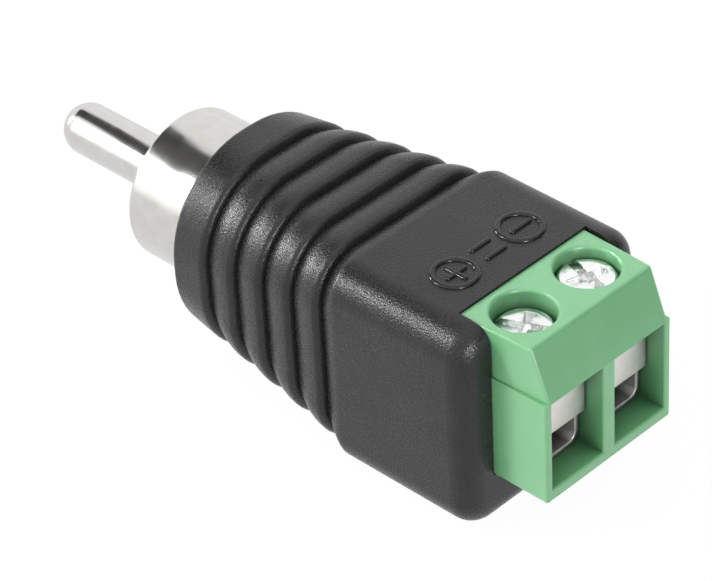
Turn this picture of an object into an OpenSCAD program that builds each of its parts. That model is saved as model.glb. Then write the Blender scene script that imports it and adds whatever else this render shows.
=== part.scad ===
// Phono plug with a two-pole screw terminal, in millimetres.
// The plug axis is X with the pin's tip at -X, and the screw heads face +Z.
// The origin is on the plug axis, in the plane of the collar's front face.

/* [Plug] */
// Diameter of the centre pin
pin_d = 3.2; // [2.8:0.05:3.6]
// Length of the centre pin in front of the shell's rim
pin_reach = 9.8; // [7:0.1:12]
// Outer diameter of the ground shell
shell_d = 9.35; // [8.8:0.05:10]
// Wall of the ground shell
shell_wall = 0.5; // [0.35:0.05:0.7]
// Length of the shell in front of the collar
shell_reach = 5.5; // [4:0.1:6.5]
// Depth of the shell's mouth, from its rim to the insulator
mouth_depth = 7; // [6.5:0.1:8]
// Thickness of the insulator round the pin
insulator_t = 2.4; // [1.5:0.1:3]
// Diameter of the pin's neck inside the insulator
neck_d = 2.6; // [1.8:0.1:2.7]
// Diameter of the pin's flange behind the insulator
flange_d = 4.2; // [3.8:0.1:4.8]
// Thickness of the pin's flange
flange_t = 0.7; // [0.4:0.1:1]
// Diameter of the pin's solder cup
cup_d = 2.2; // [1.8:0.1:3]
// Length of the solder cup behind the flange
cup_len = 4; // [3:0.1:5]
// Diameter of the hole in the solder cup
cup_hole_d = 1.2; // [0.9:0.05:1.4]
// Depth of the hole in the solder cup
cup_hole_depth = 2.4; // [1.5:0.1:2.8]
// Thickness of the shell's rear lip
lip_t = 0.5; // [0.3:0.05:0.8]
// Radial width of the shell's rear lip, inside the wall
lip_w = 1.2; // [0.9:0.05:1.4]
// Width of the shell's solder tab
tab_w = 2.4; // [1.5:0.1:3]
// Thickness of the shell's solder tab
tab_t = 0.5; // [0.3:0.05:0.6]
// Length of the solder tab behind the shell
tab_len = 4; // [3:0.1:5]

/* [Housing] */
// Wall of the round collar, over the shell
collar_wall = 1.7; // [1.2:0.05:2.2]
// Length of the collar, up to the first groove
collar_len = 2.75; // [2:0.05:4]
// Rounding of the collar's front edge
collar_round = 0.3; // [0.2:0.05:0.9]
// Half length of the flats at the collar's nearly round front
collar_flat = 0.4; // [0.05:0.05:1]
// Number of ribs between the collar and the box
rib_count = 4; // [2:1:6]
// Distance from groove to groove
rib_pitch = 2.35; // [2:0.05:3]
// Length of the round shoulder in which a rib ends, towards the box
rib_shoulder = 0.5; // [0.3:0.05:0.8]
// Flat length along a rib's crest, between its rise and its shoulder
rib_flat = 0.15; // [0.05:0.05:0.8]
// Depth of a groove, where a shoulder meets the next rib's rise
groove_depth = 0.5; // [0.3:0.05:0.9]
// Corner radius of the last rib
rib_corner = 3.2; // [2.2:0.1:4.5]
// Length of the box, behind the last groove
box_len = 10.85; // [9.5:0.05:14]
// Height of the box's top over the plug axis
box_top = 6.25; // [5.9:0.05:6.8]
// Thickness of the side walls beside the terminal block
side_wall = 2.05; // [1.6:0.05:2.6]
// Thickness of the sill under the terminal block
sill_t = 3.4; // [2:0.1:4.5]
// Thickness of the roof over the wiring chamber
roof_t = 1.75; // [1.2:0.05:2]
// Corner radius of the box
box_corner = 2; // [1.8:0.1:3]
// Length of the rounded edge at the box's front
box_front = 1.4; // [0.4:0.05:1.8]
// Rounding of the box's rear edge
box_round = 1.4; // [0.4:0.05:1.6]
// Width of the step that stops the terminal block
stop_w = 0.7; // [0.4:0.05:1]
// Length of the wiring chamber in front of the terminal block
chamber_len = 11; // [9:0.1:12]

/* [Terminal block] */
// Distance from pole to pole
pole_pitch = 5; // [4.6:0.02:5.4]
// Wall between the two poles
divider_t = 0.95; // [0.7:0.05:1.2]
// Outer wall of the block beside a pole
cheek_t = 0.475; // [0.35:0.025:0.8]
// Height of the block
block_h = 9.65; // [9.4:0.05:10.5]
// Length of the block behind the housing's rear end
block_out = 3.8; // [3:0.1:5]
// Depth of the sloping face, front to back
slope_run = 1.2; // [0.8:0.05:1.3]
// Height of the sloping face
slope_drop = 3.05; // [2.2:0.05:3.1]
// How far each side draws in towards the front, above the slope's foot
side_draw = 0.24; // [0.1:0.02:0.4]
// Thickness of the block's floor
floor_t = 0.72; // [0.5:0.02:0.9]
// Thickness of the block's rear wall
back_t = 0.72; // [0.5:0.02:1.2]
// How far the block's foot reaches forward under the roof
block_tuck = 0.95; // [0.6:0.05:1.1]
// Web between a screw well and the chamber below it
web_t = 0.75; // [0.6:0.05:0.9]
// Drop of a wire entry's top edge below the foot of the slope
entry_drop = 0.14; // [0.1:0.01:0.3]
// Thickness of the lip over a wire entry
entry_lip_t = 0.62; // [0.4:0.02:0.74]
// Bevel at a screw well's mouth
well_bevel = 0.2; // [0.05:0.05:0.25]

/* [Clamps] */
// Diameter of a screw head
head_d = 3.4; // [3:0.05:3.6]
// Height of a screw head
head_h = 1.2; // [1:0.05:1.4]
// Depth of a seated screw head's top below the block's top
head_sink = 1; // [0.8:0.05:1.2]
// How much higher the backed-out minus screw stands
minus_rise = 0.4; // [0:0.05:0.6]
// Bevel round the top of a screw head
head_bevel = 0.2; // [0.05:0.05:0.3]
// Diameter of a screw's thread
thread_d = 2.5; // [2:0.1:2.8]
// Width of the slot across a screw head
slot_w = 0.55; // [0.4:0.05:0.8]
// Depth of the slot across a screw head
slot_depth = 0.45; // [0.2:0.05:0.6]
// Length of the cross recess in a screw head
cross_len = 2.3; // [1.6:0.1:2.6]
// Depth of the cross recess in a screw head
cross_depth = 0.8; // [0.5:0.05:0.9]
// Angle of the plus screw's slot, from the X axis
plus_slot_angle = 25; // [-90:1:90]
// Angle of the minus screw's slot, from the X axis
minus_slot_angle = -15; // [-90:1:90]
// Front-to-back depth of a cage's nut
cage_d = 4.9; // [4:0.1:5]
// How far a cage lies behind the block's front face
cage_set = 1.25; // [0.8:0.05:1.5]
// Height of a cage's nut
nut_t = 2.25; // [1.8:0.05:2.3]
// Thickness of a cage's strap
strap_t = 0.3; // [0.2:0.05:0.45]
// How far the strap lies behind the nut's front face
strap_set = 0.47; // [0.2:0.01:0.8]
// Outer corner radius of a cage's strap
strap_corner = 0.8; // [0.5:0.05:1]
// Height of the wire window in an open cage
window_h = 2; // [1.8:0.05:2.05]
// Width of a contact strip
contact_w = 2.4; // [1.6:0.1:2.8]
// How far a contact's end lies behind the front of its cage
contact_set = 0.94; // [0.6:0.02:1.4]
// Thickness of a contact strip
contact_t = 0.35; // [0.2:0.05:0.45]
// Length of a contact's tail in front of the block
tail_len = 2; // [1.5:0.1:2.5]

/* [Leads] */
// Diameter of a lead's copper core
core_d = 0.7; // [0.5:0.05:0.8]
// Outer diameter of a lead's sleeve
sleeve_d = 1.5; // [1.2:0.05:1.8]
// Length of the ground core that lies on the solder tab
tab_lap = 2; // [1.6:0.1:2.6]
// Bare core between a sleeve and what the core is soldered to
sleeve_set = 0.3; // [0.1:0.05:0.6]
// Diameter of a solder bead
bead_d = 1.5; // [1.2:0.05:1.8]
// Length of a solder bead
bead_len = 1.2; // [0.8:0.1:1.5]

/* [Clearances] */
// Gap between pieces that are pressed or pushed together
seat_gap = 0.03; // [0.02:0.005:0.05]
// Gap on each side of a sliding cage
guide_gap = 0.07; // [0.05:0.01:0.15]
// Radial gap between a screw's thread and its nut
thread_gap = 0.06; // [0.04:0.01:0.1]
// Radial gap round a screw in the terminal block
head_gap = 0.1; // [0.08:0.01:0.2]
// Gap round a lead's core in its sleeve, and at the core's ends
core_gap = 0.06; // [0.04:0.01:0.1]

/* [Hidden] */
$fn = 96;
// Spare length by which a cutting tool passes the face that it cuts
over = 1;

// Plug, along X
shell_r = shell_d / 2;
mouth_r = shell_r - shell_wall;
rim_x = -shell_reach;
tip_x = rim_x - pin_reach;
insulator_x = rim_x + mouth_depth;
lip_x = insulator_x + insulator_t + seat_gap;
shell_back_x = lip_x + lip_t;
cup_back_x = lip_x + flange_t + cup_len;
lip_r = mouth_r - lip_w;
tab_y = lip_r + lip_w / 2 - tab_t / 2;

// Terminal block, seen from its own front face
entry_w = pole_pitch - divider_t;
block_w = pole_pitch + entry_w + 2 * cheek_t;
end_x = collar_len + rib_count * rib_pitch + box_len;
front_x = end_x + block_out;
cage_front_x = front_x - cage_set;
screw_x = cage_front_x - cage_d / 2;
pocket_x = cage_front_x - cage_d - guide_gap;
back_x = pocket_x - back_t;
top_back_x = back_x + block_tuck;
block_bottom = box_top - block_h;
block_floor = block_bottom + floor_t;
slope_z = box_top - slope_drop;
ledge_z = box_top - roof_t;

// Clamps, along Z
cage_bottom = block_floor + guide_gap;
cage_w = entry_w - 2 * guide_gap;
nut_z = cage_bottom + strap_t + window_h;
well_floor = box_top - head_sink - head_h - seat_gap;
chamber_top = well_floor - web_t;
well_d = head_d + 2 * head_gap;
contact_top = nut_z - guide_gap;
contact_bottom = contact_top - contact_t;
contact_front_x = cage_front_x - contact_set;
tail_x = back_x - tail_len;
screw_tip = contact_top + seat_gap;

// Housing
collar_r = shell_r + seat_gap + collar_wall;
box_x = collar_len + rib_count * rib_pitch;
rib_rise = rib_pitch - rib_flat - rib_shoulder;
box_w = block_w + 2 * side_wall;
box_bottom = block_bottom - sill_t;
box_h = box_top - box_bottom;
box_mid = (box_top + box_bottom) / 2;
chamber_x = back_x - chamber_len;
// Points along one rounded corner of the housing's section
corner_steps = 11;
// Steps along a rounded edge, and along either side of a groove
edge_steps = 4;
groove_steps = 5;

// Leads, as runs that are straight at both ends and swing over between them
lead_z = contact_top + core_d / 2 + seat_gap;
signal_from = [cup_back_x - cup_hole_depth + core_gap, 0, 0];
signal_to = [back_x - core_gap, -pole_pitch / 2, lead_z];
ground_from = [shell_back_x + tab_len - tab_lap, tab_y - core_d / 2 - seat_gap, 0];
ground_to = [back_x - core_gap, pole_pitch / 2, lead_z];
// Bare length at each end of a lead, up to its sleeve
tail_bare = tail_len - core_gap + sleeve_set;
signal_bare = [cup_hole_depth - core_gap + sleeve_set, tail_bare];
ground_bare = [tab_lap + sleeve_set, tail_bare];
lead_steps = 12;
lead_sides = 8;

function lerp(a, b, t) = a + (b - a) * t;
function smooth(t) = t * t * (3 - 2 * t);
function groove_x(k) = collar_len + k * rib_pitch;

// Stations of the housing along X, each with how far its section is drawn in
function collar_stations() = [
    for (i = [0 : edge_steps])
        let (t = 90 * i / edge_steps) collar_round * [1 - cos(t), 1 - sin(t)]
];
function groove_stations(k) = [
    for (j = [-groove_steps : -1])
        let (t = -90 * j / groove_steps)
            [groove_x(k) - rib_shoulder * (1 - cos(t)), groove_depth * (1 - sin(t))],
    for (j = [0 : groove_steps])
        let (u = j / groove_steps, rise = k == rib_count ? box_front : rib_rise)
            [groove_x(k) + rise * u, groove_depth * (1 - u) ^ 2]
];
function rear_stations() = [
    for (i = [edge_steps : -1 : 0])
        let (t = 90 * i / edge_steps)
            [end_x - box_round * (1 - cos(t)), box_round * (1 - sin(t))]
];

// Section of the housing: nearly round at the collar, squarer from rib to rib, then the box's own
function section(x, inset) =
    let (
        t = min(1, x / box_x),
        half_w = lerp(collar_r, box_w / 2, t) - inset,
        half_h = lerp(collar_r, box_h / 2, t) - inset,
        past_ribs = smooth(max(0, min(1, (x - box_x) / box_front))),
        r = lerp(lerp(collar_r - collar_flat, rib_corner, t), box_corner, past_ribs) - inset,
        mid = lerp(0, box_mid, t)
    )
    [
        for (q = [0 : 3], i = [0 : corner_steps - 1])
            let (
                a = 90 * (q + i / (corner_steps - 1)),
                side_y = q == 0 || q == 3 ? 1 : -1,
                side_z = q < 2 ? 1 : -1
            )
            [
                x,
                side_y * (half_w - r) + r * cos(a),
                mid + side_z * (half_h - r) + r * sin(a)
            ]
    ];

// Closed solid through a list of rings that have the same number of points
module loft(rings) {
    n = len(rings[0]);
    last = len(rings) - 1;
    polyhedron(
        points = [for (ring = rings) each ring],
        faces = concat(
            [[for (i = [0 : n - 1]) i]],
            [
                for (k = [0 : last - 1], i = [0 : n - 1])
                    let (j = (i + 1) % n)
                        [k * n + i, (k + 1) * n + i, (k + 1) * n + j, k * n + j]
            ],
            [[for (i = [n - 1 : -1 : 0]) last * n + i]]
        )
    );
}

module rod_x(x0, x1, d) {
    translate([x0, 0, 0]) rotate([0, 90, 0]) cylinder(h = x1 - x0, d = d);
}

module block_between(low, high) {
    translate(low) cube(high - low);
}

// Turns a profile of [distance along X, radius] points about the plug axis
module turned_x() {
    rotate([0, 90, 0]) rotate_extrude() rotate(90) mirror([0, 1]) children();
}

// Extrudes a drawing of [Y, Z] along X, between two stations
module drawn_along_x(x0, x1) {
    translate([x0, 0, 0]) rotate([90, 0, 90]) linear_extrude(height = x1 - x0) children();
}

module housing_skin() {
    stations = concat(
        collar_stations(),
        [for (k = [0 : rib_count]) each groove_stations(k)],
        rear_stations()
    );
    loft([for (s = stations) section(s[0], s[1])]);
}

module housing() {
    pocket_y = block_w / 2 + seat_gap;
    chamber_y = block_w / 2 - stop_w;
    color("#3b3b3d") difference() {
        housing_skin();
        rod_x(-over, shell_back_x + seat_gap, shell_d + 2 * seat_gap);
        rod_x(shell_back_x - over, chamber_x + over, 2 * mouth_r);
        block_between([chamber_x, -chamber_y, block_bottom + stop_w],
                      [back_x, chamber_y, ledge_z]);
        block_between([back_x - seat_gap, -pocket_y, block_bottom - seat_gap],
                      [end_x + over, pocket_y, ledge_z + seat_gap]);
        block_between([top_back_x - seat_gap, -pocket_y, ledge_z],
                      [end_x + over, pocket_y, box_top + over]);
    }
}

module ground_shell() {
    color("#c9c8c4") {
        turned_x() {
            difference() {
                translate([rim_x + shell_wall / 2, lip_r])
                    square([shell_back_x - rim_x - shell_wall / 2, shell_r - lip_r]);
                translate([rim_x, lip_r - over]) square([lip_x - rim_x, mouth_r - lip_r + over]);
            }
            translate([rim_x + shell_wall / 2, mouth_r + shell_wall / 2]) circle(d = shell_wall);
        }
        block_between([lip_x, tab_y, -tab_w / 2], [shell_back_x + tab_len, tab_y + tab_t, tab_w / 2]);
    }
}

module pin_insulator() {
    color("#e9e6dc") difference() {
        rod_x(insulator_x, insulator_x + insulator_t, 2 * (mouth_r - seat_gap));
        rod_x(insulator_x - over, insulator_x + insulator_t + over, neck_d + 2 * seat_gap);
    }
}

module centre_pin() {
    pin_r = pin_d / 2;
    color("#cfcdc8") difference() {
        turned_x() {
            intersection() {
                translate([tip_x + pin_r, 0]) circle(r = pin_r);
                translate([tip_x, 0]) square([pin_d, pin_r]);
            }
            translate([tip_x + pin_r, 0])
                square([insulator_x - seat_gap - tip_x - pin_r, pin_r]);
            translate([insulator_x - over, 0]) square([lip_x + over - insulator_x, neck_d / 2]);
            translate([lip_x, 0]) square([flange_t, flange_d / 2]);
            translate([lip_x, 0]) square([cup_back_x - lip_x, cup_d / 2]);
        }
        rod_x(cup_back_x - cup_hole_depth, cup_back_x + over, cup_hole_d);
    }
}

// Side view of the terminal block as [X, Z], with the ledge that goes under the roof
module block_outline() {
    polygon([
        [back_x, block_bottom],
        [front_x, block_bottom],
        [front_x, slope_z],
        [front_x - slope_run, box_top],
        [top_back_x, box_top],
        [top_back_x, ledge_z],
        [back_x, ledge_z]
    ]);
}

// Slim wedge that draws one side of the block's upper part in
module side_wedge() {
    past_x = front_x + over;
    draw = side_draw * (past_x - top_back_x) / (front_x - top_back_x);
    translate([0, 0, slope_z]) linear_extrude(height = slope_drop + over)
        polygon([
            [top_back_x, block_w / 2],
            [past_x, block_w / 2 - draw],
            [past_x, block_w / 2 + over],
            [top_back_x, block_w / 2 + over]
        ]);
}

// Everything that one pole takes out of the terminal block
module pole_cuts() {
    lip_z = slope_z - entry_drop;
    mouth_x = front_x - entry_lip_t;
    block_between([pocket_x, -entry_w / 2, block_floor], [mouth_x, entry_w / 2, chamber_top]);
    block_between([pocket_x, -entry_w / 2, block_floor],
                  [front_x + over, entry_w / 2, min(lip_z, chamber_top)]);
    block_between([back_x - over, -contact_w / 2 - seat_gap, contact_bottom - seat_gap],
                  [pocket_x + over, contact_w / 2 + seat_gap, contact_top + seat_gap]);
    translate([screw_x, 0, 0]) {
        translate([0, 0, chamber_top - over])
            cylinder(h = box_top - chamber_top, d = thread_d + 2 * head_gap);
        translate([0, 0, well_floor]) cylinder(h = box_top, d = well_d);
        translate([0, 0, box_top - well_bevel])
            cylinder(h = 2 * well_bevel, d1 = well_d, d2 = well_d + 4 * well_bevel);
    }
}

module terminal_block() {
    color("#6fb584") difference() {
        translate([0, block_w / 2, 0]) rotate([90, 0, 0])
            linear_extrude(height = block_w) block_outline();
        side_wedge();
        mirror([0, 1, 0]) side_wedge();
        for (side = [-1, 1]) translate([0, side * pole_pitch / 2, 0]) pole_cuts();
    }
}

// Upright rectangle with its two lower corners rounded, standing on the Y axis
module round_footed(w, h, r) {
    translate([-w / 2, r]) square([w, h - r]);
    translate([r - w / 2, 0]) square([w - 2 * r, h]);
    for (side = [-1, 1]) translate([side * (w / 2 - r), r]) circle(r = r);
}

// Rising cage: a thick nut with a strap slung under it
module cage() {
    strap_h = nut_z + nut_t / 2 - cage_bottom;
    color("#cfc9c6") difference() {
        union() {
            block_between([cage_front_x - cage_d, -cage_w / 2, nut_z],
                          [cage_front_x, cage_w / 2, nut_z + nut_t]);
            drawn_along_x(cage_front_x - cage_d + strap_set, cage_front_x - strap_set)
                translate([0, cage_bottom]) difference() {
                    round_footed(cage_w, strap_h, strap_corner);
                    translate([0, strap_t]) intersection() {
                        round_footed(cage_w - 2 * strap_t, strap_h, strap_corner - strap_t);
                        translate([-cage_w / 2, 0]) square([cage_w, window_h]);
                    }
                }
        }
        translate([screw_x, 0, nut_z - over])
            cylinder(h = nut_t + 2 * over, d = thread_d + 2 * thread_gap);
    }
}

module contact() {
    color("#d8d4cf")
        block_between([tail_x, -contact_w / 2, contact_bottom],
                      [contact_front_x, contact_w / 2, contact_top]);
}

// Clamp screw with a slot across a cross recess
module clamp_screw(slot_angle) {
    head_top = box_top - head_sink;
    head_foot = head_top - head_h;
    translate([screw_x, 0, 0]) color("#d9dadb") difference() {
        union() {
            translate([0, 0, head_foot]) cylinder(h = head_h - head_bevel, d = head_d);
            translate([0, 0, head_top - head_bevel])
                cylinder(h = head_bevel, d1 = head_d, d2 = head_d - 2 * head_bevel);
            translate([0, 0, screw_tip]) cylinder(h = head_foot - screw_tip + head_h / 2, d = thread_d);
        }
        rotate(slot_angle) {
            translate([-head_d, -slot_w / 2, head_top - slot_depth])
                cube([2 * head_d, slot_w, slot_depth + over]);
            for (turn = [0, 90]) rotate(turn)
                translate([-cross_len / 2, -slot_w / 2, head_top - cross_depth])
                    cube([cross_len, slot_w, cross_depth + over]);
        }
    }
}

module on_plus_pole() {
    translate([0, -pole_pitch / 2, 0]) children();
}

module on_minus_pole() {
    translate([0, pole_pitch / 2, 0]) children();
}

// One wire run: straight where it is bare, with a smooth swing between the ends
function lead_ring(from, to, bare, x, d) =
    let (
        t = (x - from[0] - bare[0]) / (to[0] - from[0] - bare[0] - bare[1]),
        s = smooth(max(0, min(1, t)))
    )
    [
        for (i = [0 : lead_sides - 1])
            let (a = 360 * (i + 0.5) / lead_sides)
                [x, lerp(from[1], to[1], s) + d / 2 * cos(a), lerp(from[2], to[2], s) + d / 2 * sin(a)]
    ];

module lead_run(from, to, bare, trim, d) {
    bend_0 = from[0] + bare[0];
    bend_1 = to[0] - bare[1];
    xs = concat(
        [from[0] + trim[0]],
        [for (i = [1 : lead_steps - 1]) lerp(bend_0, bend_1, i / lead_steps)],
        [to[0] - trim[1]]
    );
    loft([for (x = xs) lead_ring(from, to, bare, x, d)]);
}

module lead_core(from, to, bare) {
    color("#c98a55") lead_run(from, to, bare, [0, 0], core_d);
}

module lead_sleeve(from, to, bare, shade) {
    color(shade) difference() {
        lead_run(from, to, bare, bare, sleeve_d);
        lead_run(from, to, bare, [0, 0], core_d + 2 * core_gap);
    }
}

// Solder bead along a core that lies on a flat face below it
module bead() {
    rest = -core_d / 2;
    drawn_along_x(-bead_len / 2, bead_len / 2) difference() {
        circle(d = bead_d);
        circle(d = core_d + 2 * seat_gap);
        translate([-bead_d, rest - bead_d]) square([2 * bead_d, bead_d]);
    }
}

module solder_joints() {
    bead_x = back_x - tail_len / 2;
    color("#b9bcc0") {
        translate([bead_x, signal_to[1], signal_to[2]]) bead();
        translate([bead_x, ground_to[1], ground_to[2]]) bead();
        translate([ground_from[0] + tab_lap / 2, ground_from[1], ground_from[2]])
            rotate([90, 0, 0]) bead();
        difference() {
            rod_x(signal_from[0], cup_back_x, cup_hole_d - 2 * seat_gap);
            rod_x(signal_from[0] - over, cup_back_x + over, core_d + 2 * seat_gap);
        }
    }
}

module contact_plus() { on_plus_pole() contact(); }
module contact_minus() { on_minus_pole() contact(); }
module cage_plus() { on_plus_pole() cage(); }
module cage_minus() { on_minus_pole() cage(); }
module screw_plus() { on_plus_pole() clamp_screw(plus_slot_angle); }
module screw_minus() { on_minus_pole() translate([0, 0, minus_rise]) clamp_screw(minus_slot_angle); }
module signal_core() { lead_core(signal_from, signal_to, signal_bare); }
module signal_sleeve() { lead_sleeve(signal_from, signal_to, signal_bare, "#c23b33"); }
module ground_core() { lead_core(ground_from, ground_to, ground_bare); }
module ground_sleeve() { lead_sleeve(ground_from, ground_to, ground_bare, "#2c2c2e"); }

housing();
ground_shell();
pin_insulator();
centre_pin();
terminal_block();
contact_plus();
contact_minus();
cage_plus();
cage_minus();
screw_plus();
screw_minus();
signal_core();
signal_sleeve();
ground_core();
ground_sleeve();
solder_joints();
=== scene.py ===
import math

import bmesh
import bpy
from mathutils import Matrix, Vector


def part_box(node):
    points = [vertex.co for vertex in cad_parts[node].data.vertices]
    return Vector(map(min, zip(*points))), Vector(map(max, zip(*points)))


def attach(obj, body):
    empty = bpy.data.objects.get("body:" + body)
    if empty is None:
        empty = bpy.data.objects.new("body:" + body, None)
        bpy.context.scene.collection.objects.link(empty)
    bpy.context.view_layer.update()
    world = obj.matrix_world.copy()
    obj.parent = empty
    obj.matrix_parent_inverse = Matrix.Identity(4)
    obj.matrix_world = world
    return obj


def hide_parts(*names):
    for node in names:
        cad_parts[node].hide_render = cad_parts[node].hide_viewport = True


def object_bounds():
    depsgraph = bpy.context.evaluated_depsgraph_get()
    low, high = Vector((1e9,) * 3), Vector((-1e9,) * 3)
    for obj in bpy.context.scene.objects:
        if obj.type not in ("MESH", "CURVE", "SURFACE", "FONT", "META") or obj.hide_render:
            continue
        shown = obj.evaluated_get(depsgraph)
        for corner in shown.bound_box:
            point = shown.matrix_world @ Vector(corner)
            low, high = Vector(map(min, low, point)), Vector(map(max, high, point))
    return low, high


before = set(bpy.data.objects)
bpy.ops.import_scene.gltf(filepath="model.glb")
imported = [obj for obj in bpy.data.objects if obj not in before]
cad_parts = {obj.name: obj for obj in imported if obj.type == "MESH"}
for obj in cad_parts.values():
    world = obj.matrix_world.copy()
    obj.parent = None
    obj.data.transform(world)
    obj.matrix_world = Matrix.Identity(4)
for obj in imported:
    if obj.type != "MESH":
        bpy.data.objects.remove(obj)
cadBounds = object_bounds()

# Phono plug with a screw terminal. The plug axis is X, screw heads face +Z, plus pole on -Y.
mm = 0.001
weldGap = 0.0005 * mm
scene = bpy.context.scene
scene.view_settings.view_transform = "Standard"


# Node helpers

def calc(tree, operation, *values, clamp=False):
    node = tree.nodes.new("ShaderNodeMath")
    node.operation = operation
    node.use_clamp = clamp
    for socket, value in zip(node.inputs, values):
        if isinstance(value, bpy.types.NodeSocket):
            tree.links.new(value, socket)
        else:
            socket.default_value = value
    return node.outputs[0]


def addNode(tree, kind, links=None, values=None, **settings):
    node = tree.nodes.new(kind)
    for name, value in settings.items():
        setattr(node, name, value)
    for name, value in (values or {}).items():
        node.inputs[name].default_value = value
    for name, value in (links or {}).items():
        tree.links.new(value, node.inputs[name])
    return node


def newTree(name, sizes):
    tree = bpy.data.node_groups.new(name, "GeometryNodeTree")
    tree.interface.new_socket(name="Geometry", in_out="OUTPUT", socket_type="NodeSocketGeometry")
    for label, value in sizes.items():
        kind = "NodeSocketInt" if isinstance(value, int) else "NodeSocketFloat"
        tree.interface.new_socket(name=label, in_out="INPUT", socket_type=kind)
    return tree, tree.nodes.new("NodeGroupInput").outputs, tree.nodes.new("NodeGroupOutput").inputs[0]


def closeTree(tree, geometry, material, output):
    real = addNode(tree, "GeometryNodeRealizeInstances", {"Geometry": geometry})
    painted = addNode(tree, "GeometryNodeSetMaterial", {"Geometry": real.outputs[0]}, {"Material": material})
    tree.links.new(painted.outputs[0], output)


def link(piece):
    scene.collection.objects.link(piece)
    return piece


def meshFromTree(tree, name, sizes):
    piece = link(bpy.data.objects.new(name, bpy.data.meshes.new(name)))
    modifier = piece.modifiers.new(name, "NODES")
    modifier.node_group = tree
    for item in tree.interface.items_tree:
        if item.in_out == "INPUT":
            modifier[item.identifier] = sizes[item.name]
    graph = bpy.context.evaluated_depsgraph_get()
    mesh = bpy.data.meshes.new_from_object(piece.evaluated_get(graph))
    piece.modifiers.remove(modifier)
    piece.data = mesh
    mesh.name = name
    return piece


# Mesh helpers

def applyModifiers(piece):
    graph = bpy.context.evaluated_depsgraph_get()
    mesh = bpy.data.meshes.new_from_object(piece.evaluated_get(graph))
    piece.modifiers.clear()
    piece.data = mesh
    return piece


def softenEdges(piece, width, segments=3, sharpest=30):
    bevel = piece.modifiers.new("soft edges", "BEVEL")
    bevel.width = width
    bevel.segments = segments
    bevel.limit_method = "ANGLE"
    bevel.angle_limit = math.radians(sharpest)
    bevel.miter_outer = "MITER_ARC"
    applyModifiers(piece)
    return piece


def smoothShade(piece, angle=35):
    piece.data.shade_smooth()
    piece.data.set_sharp_from_angle(angle=math.radians(angle))
    return piece


def cadCopy(node, name):
    piece = link(bpy.data.objects.new(name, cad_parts[node].data.copy()))
    shape = bmesh.new()
    shape.from_mesh(piece.data)
    bmesh.ops.remove_doubles(shape, verts=shape.verts, dist=weldGap)
    bmesh.ops.dissolve_limit(shape, angle_limit=math.radians(1), verts=shape.verts, edges=shape.edges)
    shape.to_mesh(piece.data)
    shape.free()
    piece.data.materials.clear()
    return piece


def meshFromShape(name, shape):
    bmesh.ops.recalc_face_normals(shape, faces=shape.faces)
    piece = link(bpy.data.objects.new(name, bpy.data.meshes.new(name)))
    shape.to_mesh(piece.data)
    shape.free()
    return piece


def plainBox(name, low, high):
    shape = bmesh.new()
    bmesh.ops.create_cube(shape, size=1, matrix=Matrix.LocRotScale((low + high) / 2, None, high - low))
    return meshFromShape(name, shape)


def plainSheet(name, size):
    shape = bmesh.new()
    bmesh.ops.create_grid(shape, x_segments=1, y_segments=1, size=size / 2)
    return meshFromShape(name, shape)


def spun(name, profile, axis, steps, spot=(0, 0, 0)):
    # spins a line of points about an axis through the origin, then moves the form to its spot
    shape = bmesh.new()
    points = [shape.verts.new(point) for point in profile]
    for a, b in zip(points, points[1:]):
        shape.edges.new((a, b))
    bmesh.ops.spin(shape, geom=shape.verts[:] + shape.edges[:], cent=(0, 0, 0), axis=axis,
                   angle=2 * math.pi, steps=steps, use_merge=True)
    bmesh.ops.remove_doubles(shape, verts=shape.verts, dist=weldGap)
    bmesh.ops.translate(shape, verts=shape.verts, vec=spot)
    return meshFromShape(name, shape)


def arc(x, r, radius, start, end, steps):
    turn = [math.radians(start + (end - start) * i / steps) for i in range(steps + 1)]
    return [(x + radius * math.cos(a), r + radius * math.sin(a)) for a in turn]


def turned(name, profile):
    # [distance along X, radius] points turned about the plug axis
    return spun(name, [(x, 0, r) for x, r in profile], (1, 0, 0), 128)


def joinMeshes(piece, *others):
    shape = bmesh.new()
    for part in (piece, *others):
        shape.from_mesh(part.data)
    shape.to_mesh(piece.data)
    shape.free()
    for part in others:
        bpy.data.objects.remove(part)
    return piece


def dress(piece, material):
    piece.data.materials.clear()
    piece.data.materials.append(material)
    return piece


def place(piece, body, slot, *nodes):
    if nodes:
        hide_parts(*nodes)
    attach(piece, body)


# Materials, all on Object coordinates

def newMaterial(name):
    material = bpy.data.materials.new(name)
    material.use_nodes = True
    tree = material.node_tree
    shader = next(n for n in tree.nodes if n.type == "BSDF_PRINCIPLED")
    coords = tree.nodes.new("ShaderNodeTexCoord").outputs["Object"]
    return material, tree, shader, coords


def noise(tree, coords, size, detail=2.0, roughness=0.5, stretch=(1, 1, 1)):
    mapping = addNode(tree, "ShaderNodeMapping", {"Vector": coords}, {"Scale": stretch})
    node = addNode(tree, "ShaderNodeTexNoise", {"Vector": mapping.outputs[0]},
                   {"Scale": 1 / size, "Detail": detail, "Roughness": roughness})
    return node.outputs[0]


def spread(tree, value, low, high):
    node = addNode(tree, "ShaderNodeMapRange", {"Value": value},
                   {"From Min": 0.3, "From Max": 0.7, "To Min": low, "To Max": high})
    return node.outputs[0]


def twoTone(tree, value, dark, light):
    ramp = tree.nodes.new("ShaderNodeValToRGB")
    ramp.color_ramp.elements[0].position = 0.3
    ramp.color_ramp.elements[1].position = 0.7
    ramp.color_ramp.elements[0].color = (*dark, 1)
    ramp.color_ramp.elements[1].color = (*light, 1)
    tree.links.new(value, ramp.inputs[0])
    return ramp.outputs[0]


def bump(tree, height, depth, strength, shader):
    node = addNode(tree, "ShaderNodeBump", {"Height": height}, {"Strength": strength, "Distance": depth})
    tree.links.new(node.outputs[0], shader.inputs["Normal"])


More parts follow.
